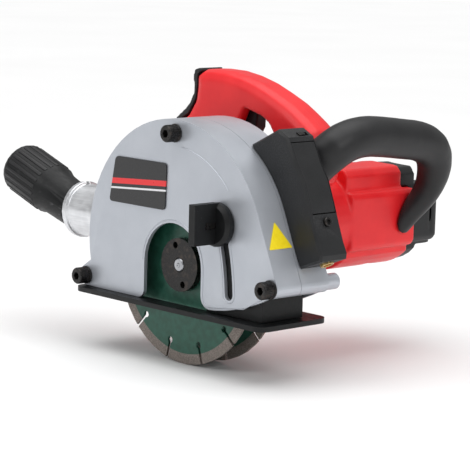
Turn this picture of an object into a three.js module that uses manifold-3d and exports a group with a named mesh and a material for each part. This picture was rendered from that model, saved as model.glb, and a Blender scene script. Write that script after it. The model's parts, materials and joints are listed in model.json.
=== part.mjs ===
// Wall chaser: two diamond discs on one spindle under a cast guard, with a motor that lies along the spindle.
// Millimetres. +X is the cutting direction, +Y runs along the spindle from the cover to the motor, +Z is up.
// The origin is on the base plate's underside, in the middle of its outer runner, straight below the spindle.
// Inside the machine group every place is measured from the centre of the outer disc.
import * as THREE from 'three';
import { mergeVertices } from 'three/addons/utils/BufferGeometryUtils.js';
import Module from 'manifold-3d';

const wasm = await Module();
wasm.setup();

// ---------- driving dimensions ----------
const GAP = 0.3; // between pieces that touch

// discs and spindle
const DISC_R = 75;
const DISC_CORE_T = 2.0;
const DISC_PITCH = 25.4; // between the two discs' centre planes
const GULLETS = 12;
const GULLET_HOLE_AT = 61;
const FLANGE_R = 20;
const THREAD_R = 5.2;
const JOURNAL_R = 7.5;
const SPINDLE_TIP_Y = -7.2;
const SPACERS = 4;
const CUT_DEPTH = 42.5; // how far the discs stand below the base plate at the deepest setting

// gear stage
const MODULE = 1.25;
const GEAR_TEETH = 42;
const PINION_TEETH = 19;
const AXIS_ANGLE = 49.2; // direction from the spindle to the motor shaft, in degrees above +X
const AXIS_DISTANCE = (MODULE * (GEAR_TEETH + PINION_TEETH)) / 2;
const MOTOR = {
  x: AXIS_DISTANCE * Math.cos((AXIS_ANGLE * Math.PI) / 180),
  z: AXIS_DISTANCE * Math.sin((AXIS_ANGLE * Math.PI) / 180),
};

// guard
const COVER_FACE_Y = -14;
const SEAM_Y = 10;
const GUARD_BACK_Y = 38;
const WALL = 3;
const RIM = { x: 1, z: 12, r: 96.5 };
const RIM_TANGENT = 22.9; // degrees, where the round rim turns into the straight front edge
const ARCH = { x: 1, z: 0.6, r: 31.5 }; // the opening in front of the spindle
const FRONT_BOSS = { x: 105, z: -2.3, r: 6.8 };
const TOP_BOSS = { x: 2, z: 98.5, r: 8 };
const GUARD_BOTTOM_Z = -28.5;
const BOLT_R = 3;
const BOLT_HEAD_R = 6.2;

// base plate, its pivot and its clamp
const BASE_BOTTOM_Z = CUT_DEPTH - DISC_R;
const BASE_T = 3.7;
const BASE = { x0: -104, x1: 105, y0: -22.5, y1: 46.5, corner: 9 };
const PIVOT = { x: -98, z: -20.5, r: 8 };
const SKIRT = { y0: -10.7, y1: 29.8, r0: 134, r1: 192, t: 1.5, top: 24 };
const SLOT = { r: 160.5, halfWidth: 4.2, from: 2.9, to: 21.5 }; // degrees about the pivot
const KNOB_ANGLE = 21.2;
const STUD_R = 3.7;

// dust outlet
const DUST = { y: 13, z: 24.2, r: 20.5, bore: 17.3, back: -136, tilt: 19 };

// drive housings
const CASE_Y = [GUARD_BACK_Y + GAP, 64];
const PLATE_Y = [64.3, 72];
const MOTOR_Y = [72.3, 183.5];
const BARREL_START_Y = 113;
const CAP_BACK_Y = 213;
const SEAM_STEP = { y: 174, z: 51.3 }; // above this height the end cap reaches further forward
const BRUSH_TILT = 12; // degrees, upper brush away from the front
const CASE_R = 30.4; // about the spindle
const NECK_R = 27.8; // where the case passes over the base plate
const NECK_END_Y = 47;
const NOSE_R = 36.5; // about the motor shaft
const BARREL_R = 40.5;

// handles
const GRIP_Y = 82;
const GRIP_WIDTH = 31;
const TRIGGER_WIDTH = 12;
const LOOP_R = 15.5;

// laser box
const LASER_Y = [12, 39.5];

// ---------- materials ----------
const paint = (color, roughness, metalness) =>
  new THREE.MeshStandardMaterial({ color, roughness, metalness });
const CAST = paint(0xbfc4cd, 0.42, 0.55);
const ALUMINIUM = paint(0xc9ccd0, 0.3, 0.9);
const STEEL = paint(0x8d9094, 0.3, 0.95);
const BLACK_STEEL = paint(0x1d1d1f, 0.45, 0.7);
const BASE_BLACK = paint(0x222224, 0.5, 0.3);
const RED = paint(0xe8323a, 0.45, 0);
const DARK = paint(0x3a3b3e, 0.55, 0);
const RUBBER = paint(0x222222, 0.8, 0);
const GREEN = paint(0x1d5a40, 0.4, 0.3);
const COPPER = paint(0xa8623a, 0.35, 0.9);
const BRASS = paint(0xc79a4a, 0.3, 0.9);

// ---------- helpers ----------
const rad = THREE.MathUtils.degToRad;

function geometryOf(manifold) {
  const { vertProperties, triVerts } = manifold.getMesh();
  const geometry = new THREE.BufferGeometry();
  geometry.setAttribute('position', new THREE.BufferAttribute(new Float32Array(vertProperties), 3));
  geometry.setIndex(new THREE.BufferAttribute(new Uint32Array(triVerts), 1));
  geometry.computeVertexNormals();
  return geometry;
}

// A solid from a closed geometry, turned right side out where its winding runs the other way.
function solid(geometry) {
  geometry.deleteAttribute('normal');
  geometry.deleteAttribute('uv');
  const merged = mergeVertices(geometry, 1e-4);
  const vertProperties = merged.attributes.position.array;
  const build = (triVerts) => new wasm.Manifold(new wasm.Mesh({ numProp: 3, vertProperties, triVerts }));
  const triangles = new Uint32Array(merged.index.array);
  const made = build(triangles);
  if (made.volume() > 0) return made;
  for (let i = 0; i < triangles.length; i += 3) {
    [triangles[i], triangles[i + 1]] = [triangles[i + 1], triangles[i]];
  }
  return build(triangles);
}

function mesh(name, shape, material) {
  const made = new THREE.Mesh(geometryOf(shape), material);
  made.name = name;
  return made;
}

const union = (...shapes) => shapes.reduce((all, next) => all.add(next));

// Points of a round stretch of an outline in the XZ plane, angles in degrees.
function arc({ x, z, r }, from, to, steps) {
  return Array.from({ length: steps + 1 }, (_, i) => {
    const angle = rad(from + ((to - from) * i) / steps);
    return [x + r * Math.cos(angle), z + r * Math.sin(angle)];
  });
}

const circle = (x, z, r, sides) => arc({ x, z, r }, 0, 360 - 360 / sides, sides - 1);

const toPoints = (list) => list.map(([x, z]) => new THREE.Vector2(x, z));

// An outline in the XZ plane as a plate between two places along Y, with rounded edges where asked.
function slab(points, y0, y1, { holes = [], bevel = 0, bevelSegments = 2 } = {}) {
  const shape = new THREE.Shape(toPoints(points));
  shape.holes = holes.map((hole) => new THREE.Path(toPoints(hole)));
  const geometry = new THREE.ExtrudeGeometry(shape, {
    depth: y1 - y0 - 2 * bevel,
    bevelEnabled: bevel > 0,
    bevelThickness: bevel,
    bevelSize: bevel,
    bevelOffset: -bevel,
    bevelSegments,
  });
  geometry.rotateX(Math.PI / 2);
  geometry.translate(0, y1 - bevel, 0);
  return solid(geometry);
}

const rod = (x, z, r, y0, y1, sides = 16) => slab(circle(x, z, r, sides), y0, y1);
const ring = (x, z, outer, inner, y0, y1, sides = 20) =>
  slab(circle(x, z, outer, sides), y0, y1, { holes: [circle(x, z, inner, sides)] });

// A piece turned about any line; the profile is [radius, distance along the line] pairs and closes on the line.
function revolve(profile, from, direction, sides = 20) {
  const geometry = new THREE.LatheGeometry(profile.map(([r, y]) => new THREE.Vector2(r, y)), sides);
  const along = new THREE.Vector3(...direction).normalize();
  geometry.applyQuaternion(new THREE.Quaternion().setFromUnitVectors(new THREE.Vector3(0, 1, 0), along));
  geometry.translate(...from);
  return solid(geometry);
}

const turned = (x, z, profile, sides = 20) => revolve(profile, [x, 0, z], [0, 1, 0], sides);
const stick = (from, direction, r, length, sides = 16) =>
  revolve([[0, 0], [r, 0], [r, length], [0, length]], from, direction, sides);

function ball(r, from) {
  const half = arc({ x: 0, z: 0, r }, -90, 90, 6);
  half[0][0] = 0;
  half[6][0] = 0;
  return revolve(half, from, [1, 0, 0]);
}

function box(x0, x1, y0, y1, z0, z1) {
  const geometry = new THREE.BoxGeometry(x1 - x0, y1 - y0, z1 - z0);
  geometry.translate((x0 + x1) / 2, (y0 + y1) / 2, (z0 + z1) / 2);
  return solid(geometry);
}

// The outline of a belt round two circles.
function belt(a, b, grow, steps) {
  const along = THREE.MathUtils.radToDeg(Math.atan2(b.z - a.z, b.x - a.x));
  const distance = Math.hypot(b.x - a.x, b.z - a.z);
  const side = THREE.MathUtils.radToDeg(Math.acos((a.r - b.r) / distance));
  return [
    ...arc({ ...a, r: a.r + grow }, along + side, along + 360 - side, steps),
    ...arc({ ...b, r: b.r + grow }, along - side, along + side, steps),
  ];
}

// A stretch of a ring about a point, as an outline.
function sector({ x, z }, r0, r1, from, to, steps) {
  return [...arc({ x, z, r: r1 }, from, to, steps), ...arc({ x, z, r: r0 }, to, from, steps)];
}

function curvedSlot({ x, z }, { r, halfWidth, from, to }, steps) {
  const end = (angle) => ({ x: x + r * Math.cos(rad(angle)), z: z + r * Math.sin(rad(angle)), r: halfWidth });
  return [
    ...arc({ x, z, r: r + halfWidth }, from, to, steps),
    ...arc(end(to), to, to + 180, 6).slice(1, -1),
    ...arc({ x, z, r: r - halfWidth }, to, from, steps),
    ...arc(end(from), from + 180, from + 360, 6).slice(1, -1),
  ];
}

// A gear outline with straight tooth flanks, thinned for backlash.
function gearOutline({ x, z }, teeth, addendum, phase) {
  const pitchR = (MODULE * teeth) / 2;
  const stations = [
    [pitchR - 1.3 * MODULE, 0.6],
    [pitchR + addendum, 0.24],
  ];
  const points = [];
  for (let tooth = 0; tooth < teeth; tooth += 1) {
    const centre = phase + (360 * tooth) / teeth;
    const flank = (share) => (share * 180) / teeth;
    const at = (r, angle) => [x + r * Math.cos(rad(angle)), z + r * Math.sin(rad(angle))];
    for (const [r, share] of stations) points.push(at(r, centre - flank(share)));
    for (const [r, share] of [...stations].reverse()) points.push(at(r, centre + flank(share)));
  }
  return points;
}

// ---------- guard ----------
// The lower front edge runs as one shallow curve from the arch to the front boss.
function lowerFrontEdge() {
  const curve = new THREE.QuadraticBezierCurve(
    new THREE.Vector2(48, -25.9),
    new THREE.Vector2(78, -22.4),
    new THREE.Vector2(FRONT_BOSS.x - 1.2, FRONT_BOSS.z - FRONT_BOSS.r + 0.1),
  );
  return curve.getPoints(6).map((point) => [point.x, point.y]);
}

function rimAndEar() {
  return [
    ...lowerFrontEdge(),
    ...arc(FRONT_BOSS, -80, RIM_TANGENT, 6),
    ...arc(RIM, RIM_TANGENT, 192, 32),
    ...arc(PIVOT, 115, 270, 6),
  ];
}

function coverOutline() {
  const bottomCorner = { x: -37, z: GUARD_BOTTOM_Z + 6.5, r: 6.5 };
  const archFoot = { x: ARCH.x + ARCH.r + 9, z: -17.3, r: 9 };
  return [
    ...rimAndEar(),
    ...arc(bottomCorner, -90, 0, 4),
    ...arc(ARCH, 180, 0, 18),
    ...arc(archFoot, 180, 270, 5),
  ];
}

// The chamber that the discs turn in, open below and, behind the pivot ear, to the rear.
function chamber(y0, y1) {
  const inner = { ...RIM, r: RIM.r - WALL };
  const end = arc(inner, RIM_TANGENT, RIM_TANGENT, 1)[0];
  const down = end[1] + 60;
  return slab(
    [
      [end[0] + down * Math.tan(rad(RIM_TANGENT)), -60],
      ...arc(inner, RIM_TANGENT, 192, 28),
      [-130, RIM.z - 20],
      [-130, -60],
    ],
    y0,
    y1,
  );
}

const dustBore = (r) => stick([-150, DUST.y, DUST.z], [1, 0, 0], r, 80, 20);

function guardCover() {
  const y1 = SEAM_Y - GAP / 2;
  return slab(coverOutline(), COVER_FACE_Y, y1)
    .subtract(chamber(COVER_FACE_Y + WALL, y1 + 1))
    .add(rod(TOP_BOSS.x, TOP_BOSS.z, TOP_BOSS.r, COVER_FACE_Y + 1, y1))
    .add(rod(FRONT_BOSS.x, FRONT_BOSS.z, FRONT_BOSS.r, COVER_FACE_Y + 1, y1))
    .subtract(slab(curvedSlot(PIVOT, SLOT, 6), COVER_FACE_Y - 1, COVER_FACE_Y + WALL + 1))
    .subtract(dustBore(DUST.bore))
    .subtract(boltHoles());
}

function guardRear() {
  const y0 = SEAM_Y + GAP / 2;
  return slab(rimAndEar(), y0, GUARD_BACK_Y)
    .subtract(chamber(y0 - 1, GUARD_BACK_Y - WALL))
    .add(rod(TOP_BOSS.x, TOP_BOSS.z, TOP_BOSS.r, y0, GUARD_BACK_Y - 1))
    .add(rod(FRONT_BOSS.x, FRONT_BOSS.z, FRONT_BOSS.r, y0, GUARD_BACK_Y - 1))
    .add(rod(FRONT_BOSS.x, FRONT_BOSS.z, FRONT_BOSS.r - 0.8, GUARD_BACK_Y - 1, GUARD_BACK_Y + 12))
    .subtract(rod(0, 0, 22, 20, 60, 24))
    .subtract(dustBore(DUST.bore))
    .subtract(boltHoles());
}

const BOLTS = {
  top_bolt: { ...TOP_BOSS, reach: GUARD_BACK_Y - 14 },
  pivot_bolt: { ...PIVOT, reach: GUARD_BACK_Y - 0.5 },
  front_bolt: { ...FRONT_BOSS, reach: GUARD_BACK_Y - 14 },
};

function boltHoles() {
  const holes = Object.values(BOLTS).map(({ x, z, reach }) =>
    rod(x, z, BOLT_R + GAP, COVER_FACE_Y - 1, reach + 1, 16));
  return union(...holes);
}

// Socket head cap bolt with a washer face and a hexagon socket.
function capBolt({ x, z, reach }) {
  const seat = COVER_FACE_Y - GAP;
  const shank = [[0, reach], [BOLT_R, reach], [BOLT_R, seat]];
  const washer = [[7, seat], [7, seat - 1.4], [BOLT_HEAD_R, seat - 1.4]];
  const head = [[BOLT_HEAD_R, seat - 9.6], [BOLT_HEAD_R - 0.6, seat - 10.2], [0, seat - 10.2]];
  return turned(x, z, [...shank, ...washer, ...head], 14)
    .subtract(slab(circle(x, z, 3.1, 6), seat - 11, seat - 5.5));
}

function badge() {
  const y = COVER_FACE_Y - GAP;
  return slab([[-71.3, 40.5], [-7.5, 40.5], [-6.3, 75.4], [-64.5, 75.4]], y - 0.8, y);
}

// ---------- discs and spindle ----------
// The rim carries sintered segments, parted by keyhole gullets.
function discOutline() {
  const pitch = 360 / GULLETS;
  const neck = 1.1;
  const hole = 2.6;
  const points = [];
  for (let i = 0; i < GULLETS; i += 1) {
    const at = 16.5 + pitch * i;
    const turn = ([x, z]) => {
      const c = Math.cos(rad(at));
      const s = Math.sin(rad(at));
      return [x * c - z * s, x * s + z * c];
    };
    const eye = arc({ x: GULLET_HOLE_AT, z: 0, r: hole }, -25, -335, 6).map(turn);
    points.push(turn([Math.sqrt(DISC_R ** 2 - neck ** 2), -neck]), ...eye);
    points.push(...arc({ x: 0, z: 0, r: DISC_R }, at + 0.85, at + pitch - 4, 3));
  }
  return points;
}

function disc(y) {
  return slab(discOutline(), y - DISC_CORE_T / 2, y + DISC_CORE_T / 2, {
    holes: [circle(0, 0, JOURNAL_R + GAP, 20)],
  });
}

function spacer(index) {
  const first = DISC_CORE_T / 2 + GAP;
  const room = DISC_PITCH - DISC_CORE_T - GAP;
  const pitch = room / SPACERS;
  return ring(0, 0, 19, JOURNAL_R + GAP, first + pitch * index, first + pitch * (index + 1) - GAP, 20);
}

function spindle() {
  return turned(0, 0, [[0, 70.4], [4.7, 70.4], [4.7, 62], [JOURNAL_R, 62], [JOURNAL_R, 34.4], [10, 34.4],
    [10, 32], [JOURNAL_R, 32], [JOURNAL_R, -1.1], [THREAD_R, -1.1], [THREAD_R, SPINDLE_TIP_Y + 0.8],
    [THREAD_R - 0.8, SPINDLE_TIP_Y], [1.6, SPINDLE_TIP_Y], [0, SPINDLE_TIP_Y + 2]], 18);
}

function flangeNut() {
  const y1 = -DISC_CORE_T / 2 - GAP;
  const pins = [107, 287].map((angle) =>
    circle(15 * Math.cos(rad(angle)), 15 * Math.sin(rad(angle)), 2.6, 12));
  return slab(circle(0, 0, FLANGE_R, 28), -6.5, y1, { holes: [circle(0, 0, THREAD_R + GAP, 18), ...pins] });
}

// ---------- base plate ----------
const onPivotArc = (r, angle) =>
  ({ x: PIVOT.x + r * Math.cos(rad(angle)), z: PIVOT.z + r * Math.sin(rad(angle)) });
const KNOB = onPivotArc(SLOT.r, KNOB_ANGLE);

function roundedRectangle(x0, x1, y0, y1, r, steps) {
  return [
    ...arc({ x: x1 - r, z: y0 + r, r }, -90, 0, steps),
    ...arc({ x: x1 - r, z: y1 - r, r }, 0, 90, steps),
    ...arc({ x: x0 + r, z: y1 - r, r }, 90, 180, steps),
    ...arc({ x: x0 + r, z: y0 + r, r }, 180, 270, steps),
  ];
}

// An outline in the XY plane as a plate between two heights.
function plate(points, z0, z1, holes = []) {
  const shape = new THREE.Shape(toPoints(points));
  shape.holes = holes.map((hole) => new THREE.Path(toPoints(hole)));
  const geometry = new THREE.ExtrudeGeometry(shape, { depth: z1 - z0, bevelEnabled: false });
  geometry.translate(0, 0, z0);
  return solid(geometry);
}

// The plate with its long window for the discs and the two lugs that it swings on.
function basePlate() {
  const top = BASE_BOTTOM_Z + BASE_T;
  const { x0, x1, y0, y1, corner } = BASE;
  const ear = [[PIVOT.x + 5.5, top - 1], ...arc({ ...PIVOT, r: 5.5 }, 0, 180, 8), [PIVOT.x - 5.5, top - 1]];
  const lugs = [SKIRT.y0, SKIRT.y1].map((y) =>
    slab(ear, y, y + 3)
      .subtract(rod(PIVOT.x, PIVOT.z, BOLT_R + GAP, y - 1, y + 4, 16)));
  return plate(roundedRectangle(x0, x1, y0, y1, corner, 5), BASE_BOTTOM_Z, top, [
    roundedRectangle(-78, 80, -8, 28, 6, 3),
  ]).add(lugs[0]).add(lugs[1]);
}

// Two cheeks joined by a front wall that is round about the pivot, so it slides inside the guard.
function skirt() {
  const { y0, y1, r0, r1, t, top } = SKIRT;
  return slab(sector(PIVOT, r0, r1, -6, top, 14), y0, y1)
    .subtract(slab(sector(PIVOT, r0 - 10, r1 - t, -8, top + 3, 14), y0 + t, y1 - t))
    .subtract(box(0, 120, y0 - 5, y1 + 5, -60, BASE_BOTTOM_Z + BASE_T + GAP))
    .subtract(rod(KNOB.x, KNOB.z, STUD_R + GAP, y0 - 2, y0 + t + 2, 16));
}

function clampStud() {
  const inner = SKIRT.y0 + SKIRT.t + GAP;
  return turned(KNOB.x, KNOB.z, [[0, inner + 2.2], [7.5, inner + 2.2], [7.5, inner], [STUD_R, inner],
    [STUD_R, -30], [0, -30]], 20);
}

// A round foot with a tall wing to turn it by.
function clampKnob() {
  const seat = COVER_FACE_Y - GAP;
  const foot = turned(KNOB.x, KNOB.z, [[0, seat], [15.2, seat], [16, seat - 0.8], [16, seat - 5],
    [13.5, seat - 7.5], [0, seat - 7.5]], 24);
  const wing = box(KNOB.x - 3.2, KNOB.x + 3.2, -41.5, seat - 4, KNOB.z - 13.5, KNOB.z + 16);
  return union(foot, wing).subtract(rod(KNOB.x, KNOB.z, STUD_R + GAP, -31, 0, 20));
}

// ---------- dust outlet ----------
function dustSpout() {
  const { y, z, r, bore, back } = DUST;
  return revolve([[0, 0], [r + 1.8, 0], [r + 1.8, 4], [r, 5.2], [r, 50], [0, 50]], [back, y, z], [1, 0, 0], 24)
    .subtract(stick([back - 1, y, z], [1, 0, 0], bore, 60, 24))
    .subtract(rod(RIM.x, RIM.z, RIM.r + GAP, -40, 60, 64))
    .subtract(box(back - 1, back + 7, y - 2, y + 2, z + r - 3, z + r + 4));
}

// A neck that turns in the spout and, tilted upward from it, a smooth collar and a wider hose sleeve.
function dustAdaptor() {
  const { y, z, bore, back, tilt } = DUST;
  const elbow = [back - 6, y, z];
  const up = [-Math.cos(rad(tilt)), 0, Math.sin(rad(tilt))];
  return stick([back - 6, y, z], [1, 0, 0], bore - GAP - 0.1, 26, 20)
    .add(ball(bore - GAP - 0.1, elbow))
    .add(revolve([[0, 0], [17, 0], [18.4, 30], [20.4, 34], [20.4, 75], [19, 78], [0, 78]], elbow, up, 24))
    .subtract(stick([back - 6, y, z], [1, 0, 0], 14.5, 30, 16))
    .subtract(ball(14.5, elbow))
    .subtract(revolve([[0, 0], [14.5, 0], [14.5, 40], [16.5, 46], [16.5, 80], [0, 80]], elbow, up, 16));
}

// ---------- gear stage ----------
const CASE_WALL = 2.7;
const caseProfile = (grow, r = CASE_R) => belt({ x: 0, z: 0, r }, { ...MOTOR, r: NOSE_R }, grow, 13);
const LOCK = { y: 57, angle: 142 };
const BRACKET = { x: 60, z: 62, r: 9 };

// Case with a spigot in the guard's rear wall, a seat for the front bearing and a bracket for the side handle.
function gearCase() {
  const [y0, y1] = CASE_Y;
  const arm = slab(belt({ x: 42, z: 44, r: 13 }, BRACKET, 0, 8), 50, 62);
  const out = [Math.cos(rad(LOCK.angle)), 0, Math.sin(rad(LOCK.angle))];
  const sleeve = stick([out[0] * 26, LOCK.y, out[2] * 26], out, 6.5, 8);
  return slab(caseProfile(0, NECK_R), y0, NECK_END_Y + 0.2)
    .add(slab(caseProfile(0), NECK_END_Y, y1))
    .add(arm)
    .add(sleeve)
    .subtract(slab(caseProfile(-CASE_WALL, NECK_R), y0 + 3.5, NECK_END_Y + 3))
    .subtract(slab(caseProfile(-CASE_WALL), NECK_END_Y + 2.5, y1 + 1))
    .add(ring(0, 0, 21.4, 17.8, y0 + 1, 51.4, 24))
    .add(rod(0, 0, 21.4, y0 - 3, y0 + 1, 24))
    .subtract(rod(0, 0, 15.5, y0 - 4, y0 + 3.6, 24))
    .subtract(rod(0, 0, 17.8, y0 + 3.5, 52, 24))
    .subtract(stick([out[0] * 20, LOCK.y, out[2] * 20], out, 3.8, 20))
    .subtract(rod(BRACKET.x, BRACKET.z, 3.3, 44, 64, 12));
}

function bearingPlate() {
  const [y0, y1] = PLATE_Y;
  return slab(caseProfile(0), y0, y1)
    .subtract(rod(0, 0, 13.3, y0 - 1, y1 - 1.4, 32))
    .subtract(rod(MOTOR.x, MOTOR.z, 16.3, y0 - 1, y1 - 1, 32))
    .subtract(rod(MOTOR.x, MOTOR.z, 10, y0, y1 + 1, 24));
}

function driveGear() {
  return slab(gearOutline({ x: 0, z: 0 }, GEAR_TEETH, MODULE * 0.8, AXIS_ANGLE), 52, 61.5, {
    holes: [circle(0, 0, JOURNAL_R + GAP, 24)],
  });
}

// The pinion shows the gear a gap, half a pitch away from a tooth.
function pinion() {
  const phase = AXIS_ANGLE + 180 + 180 / PINION_TEETH;
  return slab(gearOutline(MOTOR, PINION_TEETH, MODULE * 0.8, phase), 52, 63.5, {
    holes: [circle(MOTOR.x, MOTOR.z, 4.8, 20)],
  });
}

function spindleLockPin() {
  const out = [Math.cos(rad(LOCK.angle)), 0, Math.sin(rad(LOCK.angle))];
  return revolve([[0, 29.2], [3.4, 29.2], [3.4, 37.5], [6.5, 37.5], [6.5, 40.5], [5.5, 41.5], [0, 41.5]],
    [0, LOCK.y, 0], out, 14);
}

// ---------- motor ----------
function armatureShaft() {
  return turned(MOTOR.x, MOTOR.z, [[0, 50.8], [4.5, 50.8], [4.5, 64], [6, 64], [6, 172], [4, 172], [4, 201.5],
    [0, 201.5]], 20);
}

function coolingFan() {
  const blades = Array.from({ length: 9 }, (_, i) => {
    const blade = new THREE.BoxGeometry(20, 9, 1.6);
    blade.translate(18.5, 81, 0);
    blade.rotateY((Math.PI * 2 * i) / 9);
    blade.translate(MOTOR.x, 0, MOTOR.z);
    return solid(blade);
  });
  return union(rod(MOTOR.x, MOTOR.z, 30, 75, 77, 20), rod(MOTOR.x, MOTOR.z, 10, 76, 85.5, 16), ...blades)
    .subtract(rod(MOTOR.x, MOTOR.z, 6.3, 70, 90, 20));
}

// A winding core with slots along it.
function armatureCore() {
  const outline = [];
  for (let i = 0; i < 12; i += 1) {
    outline.push(...arc({ ...MOTOR, r: 23 }, i * 30, i * 30 + 20, 2));
    outline.push(...arc({ ...MOTOR, r: 17 }, i * 30 + 23, i * 30 + 27, 1));
  }
  return slab(outline, 94, 146, { holes: [circle(MOTOR.x, MOTOR.z, 6.3, 20)] });
}

function motorRing(outer, inner, y0, y1) {
  return ring(MOTOR.x, MOTOR.z, outer, inner, y0, y1, 20);
}

const brushAxis = (side) => [-side * Math.sin(rad(BRUSH_TILT)), 0, side * Math.cos(rad(BRUSH_TILT))];

// A point on the line of the two brushes, this far out from the motor shaft.
function alongBrush(distance) {
  const [x, , z] = brushAxis(1);
  return [MOTOR.x + distance * x, 160, MOTOR.z + distance * z];
}

function brush(side) {
  const block = new THREE.BoxGeometry(6, 8, 18);
  block.rotateY(-rad(BRUSH_TILT));
  block.translate(...alongBrush(side * 21.5));
  return solid(block);
}

function brushCap(side) {
  const slot = new THREE.BoxGeometry(1.6, 20, 3.2);
  slot.rotateY(-rad(BRUSH_TILT));
  slot.translate(...alongBrush(side * 40));
  return revolve([[0, 31.5], [6.4, 31.5], [6.4, 39.6], [0, 39.6]], alongBrush(0), brushAxis(side), 20)
    .subtract(solid(slot));
}

// The barrel is round with its front shaved flat, a squared upper edge and a raised pad on that side.
function barrel(inset, y0, y1, bevel) {
  const r = BARREL_R - inset;
  const shaved = 54.5 - inset;
  const front = 61.5 - inset;
  const top = MOTOR.z + r;
  const clip = THREE.MathUtils.radToDeg(Math.acos((shaved - MOTOR.x) / r));
  const under = arc({ ...MOTOR, r }, 105, 360 - clip, 20);
  const outline = [[MOTOR.x, top], ...under, [shaved, top - 6.5], [shaved - 4, top - 1.2]];
  const [low, high] = [6 + inset, 51 - inset];
  const pad = [[38, low], [front - 3, low], [front, low + 4], [front, high - 4], [front - 3, high], [38, high]];
  return slab(outline, y0, y1, { bevel }).add(slab(pad, y0, y1, { bevel }));
}

function motorHousing() {
  const [y0, y1] = MOTOR_Y;
  const vents = Array.from({ length: 5 }, (_, i) => {
    const slot = new THREE.BoxGeometry(12, 10, 2.2);
    slot.translate(NOSE_R, 81, 0);
    slot.rotateY(rad(34 - i * 12));
    slot.translate(MOTOR.x, 0, MOTOR.z);
    return solid(slot);
  });
  return rod(MOTOR.x, MOTOR.z, NOSE_R, y0, BARREL_START_Y + 1, 32)
    .add(barrel(0, BARREL_START_Y, y1, 0))
    .subtract(rod(MOTOR.x, MOTOR.z, NOSE_R - 3, y0 - 1, BARREL_START_Y + 4, 24))
    .subtract(rod(MOTOR.x, MOTOR.z, 34.5, BARREL_START_Y + 3, y1 + 1, 24))
    .subtract(stick(alongBrush(-50), brushAxis(1), 6.7, 100))
    .subtract(box(-40, 90, SEAM_STEP.y, y1 + 1, SEAM_STEP.z, 90))
    .subtract(union(...vents));
}

// A cover for the barrel's end with the rear bearing's seat and cooling slots; its middle stands out furthest.
function endCap() {
  const y0 = MOTOR_Y[1] + GAP;
  const front = SEAM_STEP.y + GAP;
  const deep = rod(MOTOR.x, MOTOR.z, 33.5, y0, CAP_BACK_Y - 3, 24)
    .intersect(box(-40, 90, y0, CAP_BACK_Y, 7.5, 49.5));
  const slots = Array.from({ length: 4 }, (_, i) =>
    box(32, 70, 196.5 + i * 3.4, 198.1 + i * 3.4, MOTOR.z - 14, MOTOR.z + 12));
  return barrel(1.6, front - 5, CAP_BACK_Y, 4)
    .subtract(box(-40, 90, front - 9, front, -40, 90))
    .subtract(box(-40, 90, front - 9, y0, -40, SEAM_STEP.z + GAP))
    .subtract(box(-40, 90, 191, CAP_BACK_Y + 1, 52.5, 90))
    .subtract(box(-40, 90, 195, CAP_BACK_Y + 1, -40, 4.5))
    .subtract(rod(MOTOR.x, MOTOR.z, 33.5, front - 1, 188, 24))
    .subtract(deep)
    .add(rod(MOTOR.x, MOTOR.z, 14, y0 + 1, CAP_BACK_Y - 2, 24))
    .subtract(rod(MOTOR.x, MOTOR.z, 11.3, y0, 202.5, 20))
    .subtract(union(...slots).subtract(rod(MOTOR.x, MOTOR.z, 31, 180, 220, 24)));
}

// ---------- side handle ----------
const LOOP = [
  [54, 56, 54], [62, 56, 64], [72, 57, 75], [80, 61, 84], [84.6, 67.5, 90.5], [86.3, 76, 95], [87.2, 88, 97.6],
  [87.2, 100, 98], [86.5, 118, 96.4], [85.8, 137, 94], [85, 157, 91.3], [84, 171, 86], [82.6, 179.5, 77],
  [79.5, 182.5, 64], [74.5, 182, 51], [70, 177.5, 41], [64, 172, 31], [57, 168, 21],
];
const LEG_TAPER = { y: 165, from: 86, to: 36, share: 0.6 }; // the rear leg thins to this share of its width

// Draws every point of the tube in towards its middle line, by the height of that line, where the rear leg is.
function taperLeg(geometry, path) {
  const middles = path.getSpacedPoints(120);
  const points = geometry.attributes.position;
  const point = new THREE.Vector3();
  for (let i = 0; i < points.count; i += 1) {
    point.fromBufferAttribute(points, i);
    const middle = middles.reduce((best, next) =>
      (point.distanceToSquared(next) < point.distanceToSquared(best) ? next : best));
    if (middle.y < LEG_TAPER.y) continue;
    const share = THREE.MathUtils.mapLinear(middle.z, LEG_TAPER.from, LEG_TAPER.to, 1, LEG_TAPER.share);
    point.lerpVectors(middle, point, THREE.MathUtils.clamp(share, LEG_TAPER.share, 1));
    points.setXYZ(i, ...point);
  }
  return geometry;
}

// A thick grip: its front foot sleeves over the gear case's bracket, its rear foot lands on the barrel's pad.
function sideHandle() {
  const path = new THREE.CatmullRomCurve3(LOOP.map((point) => new THREE.Vector3(...point)));
  const section = new THREE.Shape(toPoints(circle(0, 0, LOOP_R, 16)));
  return solid(taperLeg(new THREE.ExtrudeGeometry(section, { steps: 28, extrudePath: path }), path))
    .subtract(box(0, 61.8, 100, 260, -60, 140))
    .subtract(box(0, 66.9, 64.6, 100, 0, 140))
    .subtract(slab(caseProfile(GAP), 20, PLATE_Y[1] + GAP))
    .subtract(rod(MOTOR.x, MOTOR.z, NOSE_R + 0.5, 60, 100, 28))
    .subtract(slab(belt({ x: 42, z: 44, r: 13 }, BRACKET, GAP + 0.1, 8), 49.7, 62.3))
    .subtract(box(0, 140, 20, 40.4, 0, 140))
    .subtract(rod(BRACKET.x, BRACKET.z, 3.3, 30, 64, 12))
    .subtract(rod(BRACKET.x, BRACKET.z, 6.3, 30, 46, 16));
}

// ---------- main handle ----------
const TRIGGER = {
  front: [[-7.5, 110], [-8, 97], [-14, 87], [-23.5, 74]],
  back: [[-48, 85], [-33, 117], [-19, 113.5]],
  middle: { x: -26, z: 97 },
  travel: { x: -6.3, z: 3 },
};

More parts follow.
